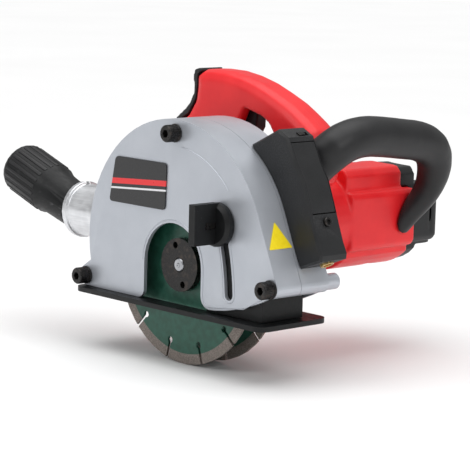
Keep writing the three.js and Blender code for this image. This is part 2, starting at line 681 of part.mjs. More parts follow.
// The room that the trigger needs in the grip: its outline a little larger, stretched along its travel.
function triggerPocket() {
  const { front, back, middle, travel } = TRIGGER;
  const roomy = ([x, z]) => [x + (x - middle.x) * 0.03, z + (z - middle.z) * 0.03];
  const pulled = [...back, front[0]].map(roomy).map(([x, z]) => [x + travel.x, z + travel.z]);
  return [...front.map(roomy), ...pulled];
}

// Closed outline of the whole handle: heel, strap, front leg, lower arm, grip.
const HANDLE_OUTER = [
  [-99, 42], [-101, 56], [-100, 70], [-97, 84], [-89, 96], [-78, 102.5], [-70, 114.2], [-68.4, 125],
  [-68.6, 133.6], [-61, 138.2], [-50.5, 138.8], [-33.6, 138.4], [-16.7, 135.8], [-1, 131.7], [14, 126],
  [29.5, 119.5], [40, 113.6], [51, 106.8], [59.5, 100.5], [65, 92], [66, 80], [64, 62], [50, 50], [10, 46], [-20, 18], [-60, 18], [-84, 22],
  [-94, 30],
];
const HANDLE_INNER = [
  [-12, 112.7], [8, 107.4], [15.5, 102.7], [20.5, 96.3], [21.5, 84], [18, 75], [4, 71], [-9, 57], [-22, 43.5],
  [-33, 41], [-41, 44], [-43.5, 50],
];

function wholeHandle() {
  const [y0, y1] = [GRIP_Y - GRIP_WIDTH / 2, GRIP_Y + GRIP_WIDTH / 2];
  const screwHoles = HANDLE_SCREWS.map(({ x, z }) =>
    rod(x, z, 2.2, 72, 110, 12).add(rod(x, z, 4.2, 92, 110, 16)));
  return slab(HANDLE_OUTER, y0, y1, { bevel: 8, bevelSegments: 2 })
    .subtract(slab(HANDLE_INNER, y0 - 1, y1 + 1))
    .subtract(rod(MOTOR.x, MOTOR.z, NOSE_R + GAP + 0.2, 50, 120, 32))
    .subtract(slab(caseProfile(GAP), 50, PLATE_Y[1] + GAP))
    .subtract(slab(triggerPocket(), GRIP_Y - TRIGGER_WIDTH / 2 - 0.4, GRIP_Y + TRIGGER_WIDTH / 2 + 0.4))
    .subtract(slab([[-84, 78], [-64, 74], [-42, 116], [-60, 122]], GRIP_Y - 9, GRIP_Y + 9))
    .subtract(stick([-52, GRIP_Y, 124], [0, 1, 0], 4.8, 40))
    .subtract(union(...screwHoles));
}

const HANDLE_SCREWS = [{ x: -80, z: 36 }, { x: 38, z: 100 }];

function handleScrew({ x, z }) {
  return turned(x, z, [[0, 96], [3.9, 96], [3.9, 92.3], [1.9, 92.3], [1.9, 73], [0, 73]], 16)
    .subtract(slab(circle(x, z, 1.8, 6), 94, 97));
}

function heelPad() {
  const outer = [[-66, 139], [-71.6, 137.6], [-74, 132], [-72, 124.6], [-72.6, 119], [-76.8, 111.5],
    [-83.6, 104.8], [-92, 98.5], [-96, 91]];
  const inner = [[-86, 94], [-74, 103], [-64, 116], [-62, 132]];
  return slab([...outer, ...inner], GRIP_Y - 12, GRIP_Y + 12)
    .subtract(slab(HANDLE_OUTER.map(([x, z]) => [x - 0.3, z + 0.2]), 60, 110));
}

function lockButton() {
  const far = GRIP_Y + GRIP_WIDTH / 2;
  return turned(-52, 124, [[0, far - 9], [4.4, far - 9], [4.4, far + 3.5], [6.5, far + 3.5], [6.5, far + 5.5],
    [5.5, far + 6.5], [0, far + 6.5]], 20);
}

function cableInlet() {
  const from = [-82, GRIP_Y, 21];
  const flange = [[0, 1], [9.5, 1], [9.5, -3], [7.6, -5]];
  const sleeve = [[7, -20], [6.4, -26], [3.6, -26], [3.6, -10], [0, -10]];
  return revolve([...flange, ...sleeve], from, [0.34, 0, 1], 20).subtract(slab(HANDLE_OUTER.map(([x, z]) => [x, z - 0.35]), 60, 110));
}

// ---------- laser box ----------
const FACE = [[91, 102], [100, 84], [108, 72], [114, 57], [119, 43], [124, 30]];
const LASER_OUTLINE = [[54, 93.5], [81, 107], ...FACE, [128, 22], [127.5, 18], [107, 10]];
const DOOR_FACE = [[92.6, 98.8], ...FACE.slice(1, 4), [116.6, 49.7]];
const FACE_OUT = [0.887, 0, 0.461];
const SCREW_OUT = [0.942, 0, 0.336];

const inward = (points, t) => points.map(([x, z]) => [x - t * FACE_OUT[0], z - t * FACE_OUT[2]]);

const BATTERY = { x: 94.2, z: 73, r: 5.1, length: 44, along: [0.42, 0, -0.907] };
const LASER = { x: 109.5, y: 27, z: 31, along: [0.5, 0, -0.866], r: 5 };

// A patch of the sloping top facet, sunk into it and standing proud of it by the given amounts.
function topFacet(halfWidth, depth, proud) {
  const at = (t, n) => [88 + 0.894 * t + 0.447 * n, 103.5 - 0.447 * t + 0.894 * n];
  return [at(-halfWidth, -depth), at(halfWidth, -depth), at(halfWidth, proud), at(-halfWidth, proud)];
}

function laserHousing() {
  const [y0, y1] = LASER_Y;
  const room = [[78.5, 97], [82, 98.6], ...inward(DOOR_FACE, 2), [112, 49.7], [97, 48.6], [78.5, 88]];
  const recess = [...inward(DOOR_FACE, -8), ...inward(DOOR_FACE, 2.8).reverse()];
  return slab(LASER_OUTLINE, y0, y1, { bevel: 1.6, bevelSegments: 1 })
    .subtract(rod(RIM.x, RIM.z, RIM.r + 0.45, 0, 60, 90))
    .subtract(slab([[90.3, 49.8], [113.8, -5], [50, -5], [50, 49.8]], 0, 60))
    .subtract(slab(recess, y0 + 2, y1 - 2))
    .subtract(slab(room, y0 + 3.4, y1 - 3.4))
    .subtract(stick([LASER.x, LASER.y, LASER.z], LASER.along, LASER.r + GAP, 40))
    .subtract(slab(topFacet(2.2, 2.4, 3), 25, 35))
    .subtract(stick([121.4, 26, 45], SCREW_OUT.map((v) => -v), 1.9, 13, 10));
}

function batteryDoor() {
  const face = [[92.9, 98.3], ...FACE.slice(1, 4), [116.3, 50.5]];
  return slab([...face, ...inward(face, 2.4).reverse()], LASER_Y[0] + 2.3, LASER_Y[1] - 2.3);
}

function battery(y) {
  const { x, z, r, length, along } = BATTERY;
  const half = length / 2;
  const profile = [[0, -half], [r, -half], [r, half - 1], [1.9, half - 1], [1.9, half], [0, half]];
  return revolve(profile, [x, y, z], along, 20);
}

function laserModule() {
  const { x, y, z, r, along } = LASER;
  return revolve([[0, 0.5], [r, 0.5], [r, 20.8], [3.2, 20.8], [3.2, 18.8], [0, 18.8]], [x, y, z], along, 24);
}

function laserBoxScrew() {
  const profile = [[0, -8], [1.6, -8], [1.6, 0.4], [3.4, 0.4], [3.4, 1.8], [2.8, 2.5], [0, 2.5]];
  return revolve(profile, [118.6, 26, 44], SCREW_OUT, 16);
}
const laserSwitch = () => slab(topFacet(1.9, 2.1, 0.9), 25.4, 31.4);

// ---------- side handle screws, switch, handle halves ----------
const sideHandleScrew = () => turned(BRACKET.x, BRACKET.z, [[0, 63], [3, 63], [3, 45.7], [6, 45.7], [6, 42.5],
  [5, 41.5], [0, 41.5]], 16);
const triggerSwitch = () => slab([[-80, 79.5], [-69, 77.5], [-65.5, 87], [-55.5, 110], [-63, 113]], 74, 90);
const trigger = () => slab([...TRIGGER.front, ...TRIGGER.back], GRIP_Y - TRIGGER_WIDTH / 2,
  GRIP_Y + TRIGGER_WIDTH / 2, { bevel: 1.5, bevelSegments: 1 });
const nearHalf = (whole) => whole.subtract(box(-150, 100, GRIP_Y - GAP / 2, 120, -40, 200));
const farHalf = (whole) => whole.subtract(box(-150, 100, 40, GRIP_Y + GAP / 2, -40, 200));

// ---------- assembly ----------
const whole = wholeHandle();
const outerDisc = disc(0);
const pieces = [
  ['guard_cover', guardCover(), CAST],
  ['guard_rear', guardRear(), CAST],
  ...Object.entries(BOLTS).map(([name, place]) => [name, capBolt(place), BLACK_STEEL]),
  ['badge', badge(), DARK],
  ['outer_disc', outerDisc, GREEN],
  ['inner_disc', outerDisc.translate([0, DISC_PITCH, 0]), GREEN],
  ...Array.from({ length: SPACERS }, (_, i) => [`spacer_${i + 1}`, spacer(i), STEEL]),
  ['inner_flange', ring(0, 0, FLANGE_R, JOURNAL_R + GAP, 26.7, 31.7, 24), STEEL],
  ['flange_nut', flangeNut(), BLACK_STEEL],
  ['spindle', spindle(), STEEL],
  ['drive_gear', driveGear(), STEEL],
  ['spindle_front_bearing', ring(0, 0, 17.5, JOURNAL_R + GAP, 42.1, 51.1), STEEL],
  ['spindle_rear_bearing', ring(0, 0, 13, 5, 64.6, 70.3, 28), STEEL],
  ['base_plate', basePlate(), BASE_BLACK],
  ['skirt', skirt(), BASE_BLACK],
  ['clamp_stud', clampStud(), BLACK_STEEL],
  ['clamp_knob', clampKnob(), DARK],
  ['dust_spout', dustSpout(), ALUMINIUM],
  ['dust_adaptor', dustAdaptor(), RUBBER],
  ['gear_case', gearCase(), CAST],
  ['spindle_lock_pin', spindleLockPin(), STEEL],
  ['bearing_plate', bearingPlate(), ALUMINIUM],
  ['armature_shaft', armatureShaft(), STEEL],
  ['pinion', pinion(), STEEL],
  ['cooling_fan', coolingFan(), DARK],
  ['armature_core', armatureCore(), COPPER],
  ['commutator', motorRing(12, 6.3, 152, 170), COPPER],
  ['stator', motorRing(33, 24.5, 94, 146), STEEL],
  ['armature_front_bearing', motorRing(16, 6.3, 64.6, 70.7), STEEL],
  ['armature_rear_bearing', motorRing(11, 4.3, 194, 201), STEEL],
  ['brush_upper', brush(1), BLACK_STEEL],
  ['brush_lower', brush(-1), BLACK_STEEL],
  ['brush_cap_upper', brushCap(1), DARK],
  ['brush_cap_lower', brushCap(-1), DARK],
  ['motor_housing', motorHousing(), RED],
  ['end_cap', endCap(), DARK],
  ['aux_handle', sideHandle(), RUBBER],
  ['aux_handle_screw', sideHandleScrew(), BLACK_STEEL],
  ['handle_near_shell', nearHalf(whole), RED],
  ['handle_far_shell', farHalf(whole), RED],
  ['heel_pad', heelPad(), RUBBER],
  ['trigger', trigger(), DARK],
  ['trigger_switch', triggerSwitch(), DARK],
  ['lock_button', lockButton(), DARK],
  ['cable_inlet', cableInlet(), RUBBER],
  ...HANDLE_SCREWS.map((place, i) => [`handle_screw_${i + 1}`, handleScrew(place), STEEL]),
  ['laser_housing', laserHousing(), DARK],
  ['battery_door', batteryDoor(), DARK],
  ['battery_near', battery(20.7), STEEL],
  ['battery_far', battery(31), STEEL],
  ['laser_module', laserModule(), BRASS],
  ['laser_box_screw', laserBoxScrew(), BLACK_STEEL],
  ['laser_switch', laserSwitch(), BLACK_STEEL],
];

const machine = new THREE.Group();
machine.name = 'machine';
machine.position.set(0, 17, -BASE_BOTTOM_Z);
for (const [name, shape, material] of pieces) machine.add(mesh(name, shape, material));

const part = new THREE.Group();
part.name = 'wall_chaser';
part.add(machine);
export default part;
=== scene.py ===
import json
import math

import bmesh
import bpy
from mathutils import Matrix, Vector


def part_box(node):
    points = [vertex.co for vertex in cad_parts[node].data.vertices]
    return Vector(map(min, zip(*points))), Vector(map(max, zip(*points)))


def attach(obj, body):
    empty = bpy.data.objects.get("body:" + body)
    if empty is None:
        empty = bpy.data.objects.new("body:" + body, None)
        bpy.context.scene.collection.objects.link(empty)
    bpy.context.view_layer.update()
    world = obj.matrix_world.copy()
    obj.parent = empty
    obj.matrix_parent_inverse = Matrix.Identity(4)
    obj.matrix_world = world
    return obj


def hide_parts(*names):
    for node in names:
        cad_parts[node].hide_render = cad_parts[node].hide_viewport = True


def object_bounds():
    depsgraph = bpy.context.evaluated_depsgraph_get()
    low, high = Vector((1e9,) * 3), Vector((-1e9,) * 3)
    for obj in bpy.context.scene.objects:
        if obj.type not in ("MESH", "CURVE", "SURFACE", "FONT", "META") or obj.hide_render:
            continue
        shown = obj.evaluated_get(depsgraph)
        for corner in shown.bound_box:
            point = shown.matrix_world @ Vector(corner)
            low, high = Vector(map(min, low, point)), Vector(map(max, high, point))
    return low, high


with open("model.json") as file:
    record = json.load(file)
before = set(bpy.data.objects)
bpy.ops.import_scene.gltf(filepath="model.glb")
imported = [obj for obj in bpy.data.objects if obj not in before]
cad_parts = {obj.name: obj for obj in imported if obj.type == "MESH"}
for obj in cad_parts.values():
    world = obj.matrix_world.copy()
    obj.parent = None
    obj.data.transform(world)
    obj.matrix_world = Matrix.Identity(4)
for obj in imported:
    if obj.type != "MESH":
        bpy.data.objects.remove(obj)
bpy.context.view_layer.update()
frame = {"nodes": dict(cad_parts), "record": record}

MM = 0.001
RECORD = frame["record"]
JOINTS = {joint["name"]: joint for joint in RECORD["behaviour"]["joints"]}
BODY_OF = {node: body for body, nodes in RECORD["behaviour"]["bodies"].items() for node in nodes}
SLOT_OF = {entry["node"]: entry["material_slot"] for entry in RECORD["subparts"]}
SPINDLE = Vector(JOINTS["spindle_spin"]["pos_m"])
PIVOT = Vector(JOINTS["depth_swing"]["pos_m"])

WELD = 1e-6  # metres
COPLANAR = math.radians(0.6)
SHARP = math.radians(32)  # edges above this angle are kept sharp, and rounded where a piece has a bevel
SMOOTHING = 0.5
FLAT = 0.5  # Pointiness of a flat face
DISC_CORE_R = 67.2  # mm, where the lacquered core ends and the diamond rim starts


# ---------- shader wiring ----------
class Wire:
    """A shader output that adds, subtracts, multiplies, divides and compares like a number."""

    def __init__(self, shade, socket):
        self.shade, self.socket = shade, socket

    def _math(self, operation, *values):
        return self.shade.node("ShaderNodeMath", list(values), operation=operation)

    def __add__(self, other):
        return self._math("ADD", self, other)

    def __sub__(self, other):
        return self._math("SUBTRACT", self, other)

    def __rsub__(self, other):
        return self._math("SUBTRACT", other, self)

    def __mul__(self, other):
        return self._math("MULTIPLY", self, other)

    def __truediv__(self, other):
        return self._math("DIVIDE", self, other)

    def __gt__(self, other):
        return self._math("GREATER_THAN", self, other)

    def __lt__(self, other):
        return self._math("LESS_THAN", self, other)

    def __abs__(self):
        return self._math("ABSOLUTE", self)

    def call(self, operation, *values):
        return self._math(operation, self, *values)

    __radd__, __rmul__ = __add__, __mul__


class Shade:
    """One material with a Principled shader, and the few node patterns that the finishes share."""

    def __init__(self, name, **constants):
        self.material = bpy.data.materials.new(name)
        self.material.use_nodes = True
        self.tree = self.material.node_tree
        self.shader = self.tree.nodes["Principled BSDF"]
        for key, value in constants.items():
            self.set(key.replace("_", " ").title().replace("Ior", "IOR"), value)
        self.place = self.node("ShaderNodeTexCoord", out="Object")

    def plug(self, socket, value):
        if isinstance(value, Wire):
            self.tree.links.new(value.socket, socket)
        elif isinstance(value, (tuple, list)) and len(value) == 3 and socket.type == "RGBA":
            socket.default_value = (*value, 1)
        else:
            socket.default_value = value

    def node(self, kind, inputs=(), out=0, **settings):
        made = self.tree.nodes.new(kind)
        for key, value in settings.items():
            setattr(made, key, value)
        pairs = inputs.items() if isinstance(inputs, dict) else enumerate(inputs)
        for key, value in pairs:
            self.plug(made.inputs[key], value)
        return Wire(self, made.outputs[out])

    def set(self, name, value):
        self.plug(self.shader.inputs[name], value)

    def noise(self, scale, detail=3.0, stretch=None):
        place = self.place
        if stretch:
            place = self.node("ShaderNodeVectorMath", [place, stretch], operation="MULTIPLY")
        return self.node("ShaderNodeTexNoise", {"Vector": place, "Scale": scale, "Detail": detail}, "Fac")

    def cells(self, scale):
        return self.node("ShaderNodeTexVoronoi", {"Vector": self.place, "Scale": scale}, "Distance")

    def axis(self, name):
        return self.node("ShaderNodeSeparateXYZ", [self.place], "XYZ".index(name))

    def ramp(self, value, low, high, to_low=0.0, to_high=1.0):
        return self.node("ShaderNodeMapRange", [value, low, high, to_low, to_high])

    def blend(self, factor, a, b):
        made = self.tree.nodes.new("ShaderNodeMix")
        made.data_type = "RGBA"
        for index, value in ((0, factor), (6, a), (7, b)):
            self.plug(made.inputs[index], value)
        return Wire(self, made.outputs[2])

    def edges(self, reach):
        """1 along worn edges, 0 elsewhere."""
        point = self.node("ShaderNodeNewGeometry", out="Pointiness")
        return self.ramp(point, FLAT + 0.02, FLAT + reach)

    def bump(self, height, strength, distance):
        inputs = {"Height": height, "Strength": strength, "Distance": distance}
        self.set("Normal", self.node("ShaderNodeBump", inputs))

    def from_line(self, centre):
        """Distance from a line along Y through the centre."""
        across = self.axis("X") - centre.x
        up = self.axis("Z") - centre.z
        return (across * across + up * up).call("SQRT")


# ---------- finishes ----------
def cast_guard():
    """Silver-painted casting: orange-peel, fine metal flake and faint streaks round the rim."""
    s = Shade("cast_guard", metallic=0.55, coat_roughness=0.25)
    flake = s.noise(9000, 1)
    peel = s.noise(900, 3)
    streak = s.noise(700, 2, (0.25, 6.0, 0.25))
    cloud = s.noise(35, 4)
    tone = flake * 0.5 + cloud * 0.5
    s.set("Base Color", s.blend(s.ramp(tone, 0.3, 0.7), (0.43, 0.455, 0.50), (0.53, 0.555, 0.60)))
    s.set("Roughness", s.ramp(streak * 0.6 + cloud * 0.4, 0.3, 0.7, 0.32, 0.46))
    s.bump(peel * 0.6 + streak * 0.4, 0.12, 0.0002)
    return s.material


def cast_case():
    """Bare fine casting with a sandy skin."""
    s = Shade("cast_case", metallic=0.75)
    grain = s.noise(2200, 4)
    cloud = s.noise(60, 4)
    s.set("Base Color", s.blend(s.ramp(grain + cloud, 0.7, 1.3), (0.38, 0.39, 0.41), (0.58, 0.59, 0.61)))
    s.set("Roughness", s.ramp(cloud, 0.3, 0.7, 0.38, 0.55))
    s.bump(grain, 0.3, 0.0003)
    return s.material


def red_shell(name, seam=None):
    """Red moulded plastic with a fine spark-eroded grain, and a parting line at seam on Y if given."""
    s = Shade(name, specular_ior_level=0.4)
    grain = s.cells(2600)
    cloud = s.noise(45, 3)
    s.set("Base Color", s.blend(s.ramp(cloud, 0.3, 0.7), (0.78, 0.012, 0.018), (0.88, 0.022, 0.026)))
    s.set("Roughness", s.ramp(cloud + grain * 0.3, 0.4, 0.9, 0.34, 0.46))
    height = grain
    if seam is not None:
        height = grain - s.ramp(abs(s.axis("Y") - seam), 0.0001, 0.0004, 6.0, 0.0)
    s.bump(height, 0.14, 0.00018)
    return s.material


def dark_plastic():
    """Charcoal moulded plastic, grained, with edges rubbed a little lighter."""
    s = Shade("dark_plastic", specular_ior_level=0.36)
    grain = s.cells(2300)
    cloud = s.noise(50, 4)
    worn = s.edges(0.12) * s.ramp(s.noise(900, 4), 0.45, 0.6)
    base = s.blend(s.ramp(cloud, 0.3, 0.7), (0.010, 0.0105, 0.0115), (0.016, 0.0165, 0.0175))
    s.set("Base Color", s.blend(worn * 0.2, base, (0.09, 0.09, 0.095)))
    s.set("Roughness", s.ramp(cloud + grain * 0.2, 0.35, 0.85, 0.42, 0.56))
    s.bump(grain, 0.22, 0.0002)
    return s.material


def soft_grip():
    """Matt rubber with a powdery bloom."""
    s = Shade("soft_grip", specular_ior_level=0.35)
    grain = s.noise(3200, 3)
    bloom = s.noise(38, 5)
    s.set("Base Color", s.blend(s.ramp(bloom, 0.35, 0.7), (0.012, 0.012, 0.013), (0.022, 0.022, 0.023)))
    s.set("Roughness", s.ramp(bloom, 0.3, 0.7, 0.4, 0.54))
    s.bump(grain, 0.2, 0.0002)
    return s.material


def black_base():
    """Satin black powder coat, faintly scuffed along its edges."""
    s = Shade("black_base", specular_ior_level=0.28)
    peel = s.noise(1400, 2)
    scuff = s.noise(420, 5, (0.3, 1.0, 1.0))
    worn = s.edges(0.3) * s.ramp(scuff, 0.6, 0.7) * 0.35
    s.set("Base Color", s.blend(worn, (0.005, 0.0055, 0.006), (0.16, 0.16, 0.17)))
    s.set("Metallic", worn)
    s.set("Roughness", s.ramp(scuff, 0.3, 0.7, 0.36, 0.52))
    s.bump(peel, 0.15, 0.0002)
    return s.material


def black_steel():
    """Black-oxide steel, oiled, with brownish bare patches."""
    s = Shade("black_steel", metallic=0.8)
    patch = s.noise(240, 5)
    fine = s.noise(2600, 2)
    s.set("Base Color", s.blend(s.ramp(patch, 0.5, 0.75), (0.028, 0.027, 0.027), (0.075, 0.062, 0.055)))
    s.set("Roughness", s.ramp(patch, 0.3, 0.7, 0.2, 0.42))
    s.bump(fine, 0.12, 0.0002)
    return s.material


def turned_metal(name, dark, light, scale, rough):
    """Machined metal: fine tool lines round the Y axis and a mottled polish."""
    s = Shade(name, metallic=1.0)
    lines = s.noise(scale, 2, (0.1, 8.0, 0.1))
    mottle = s.noise(120, 4)
    s.set("Base Color", s.blend(s.ramp(lines + mottle, 0.7, 1.3), dark, light))
    s.set("Roughness", s.ramp(mottle + lines, 0.6, 1.4, rough, rough + 0.18))
    s.bump(lines, 0.12, 0.0001)
    return s.material


def disc_green():
    """Green lacquered core with turning marks; beyond it the sintered diamond rim is bare and gritty."""
    s = Shade("disc_green", coat_roughness=0.2)
    radius = s.from_line(SPINDLE)
    rim = radius > DISC_CORE_R * MM
    grit = s.cells(1500)
    outward = s.node("ShaderNodeCombineXYZ", [radius])
    rings = s.node("ShaderNodeTexNoise", {"Vector": outward, "Scale": 3500.0, "Detail": 2.0})
    scratch = s.noise(200, 5)
    core = s.blend(s.ramp(scratch, 0.35, 0.7), (0.012, 0.070, 0.045), (0.024, 0.110, 0.075))
    sinter = s.blend(s.ramp(grit, 0.1, 0.6), (0.42, 0.37, 0.34), (0.22, 0.19, 0.17))
    s.set("Base Color", s.blend(rim, core, sinter))
    s.set("Metallic", rim * 0.5 + 0.2)
    s.set("Roughness", rim * 0.28 + s.ramp(scratch, 0.3, 0.7, 0.3, 0.42))
    s.bump(rings * 0.25 + rim * grit, 0.35, 0.0003)
    return s.material


def sticker_yellow():
    """Printed film, faintly uneven."""
    s = Shade("sticker_yellow", roughness=0.35, specular_ior_level=0.5)
    tone = s.noise(300, 2)
    s.set("Base Color", s.blend(s.ramp(tone, 0.3, 0.7), (0.86, 0.66, 0.01), (0.92, 0.73, 0.02)))
    return s.material


def badge_print():
    """Gloss black plate with a plain red band across it and a hair-line border."""
    s = Shade("badge_print", coat_weight=0.12, coat_roughness=0.15)
    low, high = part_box("badge")
    u = (s.axis("X") - low[0]) / (high[0] - low[0])
    v = (s.axis("Z") - low[2]) / (high[2] - low[2])
    band = abs(v - 0.45 - u * 0.12) < 0.06
    stripe = abs(v - 0.30 - u * 0.12) < 0.02
    dust = s.noise(900, 4)
    black = s.blend(s.ramp(dust, 0.5, 0.8), (0.006, 0.006, 0.007), (0.02, 0.02, 0.022))
    s.set("Base Color", s.blend(stripe, s.blend(band, black, (0.75, 0.015, 0.02)), (0.75, 0.75, 0.77)))
    s.set("Roughness", s.ramp(dust, 0.3, 0.7, 0.26, 0.4))
    return s.material


FINISH = {
    "cast_guard": cast_guard(),
    "cast_case": cast_case(),
    "red_shell": red_shell("red_shell"),
    "dark_plastic": dark_plastic(),
    "soft_grip": soft_grip(),
    "black_base": black_base(),
    "black_steel": black_steel(),
    "disc_green": disc_green(),
    "bright_steel": turned_metal("bright_steel", (0.28, 0.29, 0.31), (0.48, 0.49, 0.51), 900, 0.22),
    "spout_metal": turned_metal("spout_metal", (0.62, 0.63, 0.65), (0.8, 0.81, 0.83), 500, 0.28),
    "copper": turned_metal("copper", (0.55, 0.22, 0.12), (0.78, 0.4, 0.24), 900, 0.25),
    "lens_brass": turned_metal("lens_brass", (0.62, 0.42, 0.16), (0.85, 0.64, 0.3), 900, 0.2),
}
BADGE = badge_print()
YELLOW = sticker_yellow()
HANDLE_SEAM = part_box("handle_near_shell")[1][1]
HANDLE_RED = red_shell("red_handle", HANDLE_SEAM)


# ---------- mesh helpers ----------
def add_object(name, mesh, material):
    made = bpy.data.objects.new(name, mesh)
    bpy.context.collection.objects.link(made)
    mesh.materials.clear()
    mesh.materials.append(material)
    return made


def belongs(piece, node, replaces=True):
    """The piece moves as the CAD node does, and stands in its place if asked."""
    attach(piece, BODY_OF[node])
    if replaces:
        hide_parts(node)
    return piece


def cad_mesh(node):
    """The node's solid as a welded mesh with its flat faces joined up."""
    source = frame["nodes"][node]
    bm = bmesh.new()
    bm.from_mesh(source.data)
    bm.transform(source.matrix_world)
    bmesh.ops.remove_doubles(bm, verts=bm.verts, dist=WELD)
    bmesh.ops.dissolve_limit(bm, angle_limit=COPLANAR, verts=bm.verts, edges=bm.edges)
    return bm


def to_mesh(bm, name):
    mesh = bpy.data.meshes.new(name)
    bm.to_mesh(mesh)
    bm.free()
    mesh.polygons.foreach_set("use_smooth", [True] * len(mesh.polygons))
    mesh.set_sharp_from_angle(angle=SHARP)
    return mesh


def shaped(bm, name, material):
    """The shape as an object, with its mesh under the same name."""
    return add_object(name, to_mesh(bm, name), material)


def apply_modifiers(piece):
    """The shape that the modifiers give becomes the piece's own mesh."""
    graph = bpy.context.evaluated_depsgraph_get()
    mesh = bpy.data.meshes.new_from_object(piece.evaluated_get(graph))
    piece.modifiers.clear()
    piece.data = mesh
    return piece


def edged(node, width, material=None):
    """The CAD solid with its hard edges rounded."""
    piece = shaped(cad_mesh(node), node + "_body", material or FINISH[SLOT_OF[node]])
    return belongs(rounded(piece, width), node)


def moulded(node, voxel, rounds):
    """The CAD solid with every edge melted into a soft, moulded one."""
    piece = shaped(cad_mesh(node), node + "_body", FINISH[SLOT_OF[node]])
    return belongs(soften(piece, voxel, rounds), node)


def rounded(piece, width):
    """A bevel on the piece's hard edges."""
    bevel = piece.modifiers.new("edges", "BEVEL")
    bevel.width = width * MM
    bevel.segments = 3
    bevel.limit_method = "ANGLE"
    bevel.angle_limit = SHARP
    bevel.harden_normals = True
    bevel.miter_outer = "MITER_ARC"
    return piece


def bevelled(bm, geom, offset, segments, affect="EDGES"):
    bmesh.ops.bevel(bm, geom=geom, offset=offset, segments=segments, profile=0.5, affect=affect, material=-1)


def soften(piece, voxel, rounds):
    """Voxel remesh and smoothing, applied."""
    remesh = piece.modifiers.new("remesh", "REMESH")
    remesh.mode = "VOXEL"
    remesh.voxel_size = voxel * MM
    remesh.use_smooth_shade = True
    smooth = piece.modifiers.new("smooth", "SMOOTH")
    smooth.factor = SMOOTHING
    smooth.iterations = rounds
    return apply_modifiers(piece)


# ---------- pieces ----------
BEAD_R = 0.45  # mm, half the width of the cover's beads and of its relief line
EDGED = {  # how wide each piece's hard edges are rounded, in mm
    "guard_cover": 1.1, "guard_rear": 0.9, "top_bolt": 0.35, "pivot_bolt": 0.35, "front_bolt": 0.35,
    "gear_case": 0.8, "bearing_plate": 0.7, "base_plate": 0.8, "skirt": 0.4, "clamp_knob": 1.2,
    "dust_spout": 0.5, "outer_disc": 0.12, "inner_disc": 0.12, "flange_nut": 0.5, "inner_flange": 0.4,
    "spindle": 0.3, "laser_housing": 0.8, "battery_door": 0.5, "laser_module": 0.3, "laser_switch": 0.3,
    "spindle_lock_pin": 0.4, "brush_cap_upper": 0.5, "brush_cap_lower": 0.5, "trigger": 1.2,
    "lock_button": 0.5, "cable_inlet": 0.6, "clamp_stud": 0.3, "aux_handle_screw": 0.5,
    "dust_adaptor": 0.7, "handle_screw_1": 0.3, "handle_screw_2": 0.3,
    "spacer_1": 0.3, "spacer_2": 0.3, "spacer_3": 0.3, "spacer_4": 0.3,
}
NEAR_BLACK = {"clamp_knob", "skirt", "dust_adaptor"}  # moulded pieces as dark as the base plate
# For each moulded piece, the voxel of its remesh in mm and its rounds of smoothing.
MOULDED = {"motor_housing": (1.2, 5), "end_cap": (1.1, 5), "aux_handle": (1.4, 30), "heel_pad": (1.0, 5)}


def main_handle():
    """Both shells as one moulding; only a fine parting line shows where they meet."""
    reach, overlap = 0.5 * MM, 0.4 * MM
    both = bmesh.new()
    for node in ("handle_near_shell", "handle_far_shell"):
        half = cad_mesh(node)
        for vert in half.verts:
            if abs(vert.co.y - HANDLE_SEAM) < reach:
                vert.co.y = HANDLE_SEAM + (overlap if node == "handle_near_shell" else -overlap)
        mesh = bpy.data.meshes.new("half")
        half.to_mesh(mesh)
        half.free()
        both.from_mesh(mesh)
    piece = shaped(both, "main_handle", HANDLE_RED)
    soften(piece, voxel=1.2, rounds=8)
    belongs(piece, "handle_near_shell")
    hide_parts("handle_near_shell", "handle_far_shell")


def arc(centre, radius, start, end, steps=24):
    """Points (x, z) along an arc, in mm from the spindle; the angles are in degrees."""
    angles = [math.radians(start + (end - start) * step / steps) for step in range(steps + 1)]
    return [(centre[0] + radius * math.cos(a), centre[1] + radius * math.sin(a)) for a in angles]


def bead(name, points):
    """A low round bead along points (x, z) on the cover's face, in mm from the spindle."""
    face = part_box("guard_cover")[0][1]
    curve = bpy.data.curves.new(name, "CURVE")
    curve.dimensions = "3D"
    curve.bevel_depth = BEAD_R * MM
    curve.use_fill_caps = True
    line = curve.splines.new("POLY")
    line.points.add(len(points) - 1)
    for point, (x, z) in zip(line.points, points):
        point.co = (SPINDLE.x + x * MM, face, SPINDLE.z + z * MM, 1)
    drawn = bpy.data.objects.new(name, curve)
    mesh = bpy.data.meshes.new_from_object(drawn)
    bpy.data.objects.remove(drawn)
    mesh.polygons.foreach_set("use_smooth", [True] * len(mesh.polygons))
    belongs(add_object(name, mesh, FINISH["cast_guard"]), "guard_cover", replaces=False)


def cover_beads():
    """Beads on the cover: over the spindle's arch and along the bottom edge, and round the slot."""
    arch = arc(centre=(1, 0.6), radius=33.5, start=180, end=0)
    foot = arc(centre=(41.5, -17.3), radius=7, start=180, end=270, steps=8)
    bottom_edge = [(48, -23.9), (78, -20.4), (100, -9)]
    bead("arch_bead", [*arch, *foot, *bottom_edge])
    pivot = ((PIVOT.x - SPINDLE.x) / MM, (PIVOT.z - SPINDLE.z) / MM)
    track, half = 160.5, 6.0  # the slot's middle line about the pivot, and the bead's distance from it
    low, high = 2.9, 20  # degrees
    bottom = math.radians(low)
    end = (pivot[0] + track * math.cos(bottom), pivot[1] + track * math.sin(bottom))
    outer = arc(pivot, track + half, high, low)
    inner = arc(pivot, track - half, low, high)
    bead("slot_bead", [*outer, *arc(end, half, low, low - 180, 12)[1:-1], *inner])


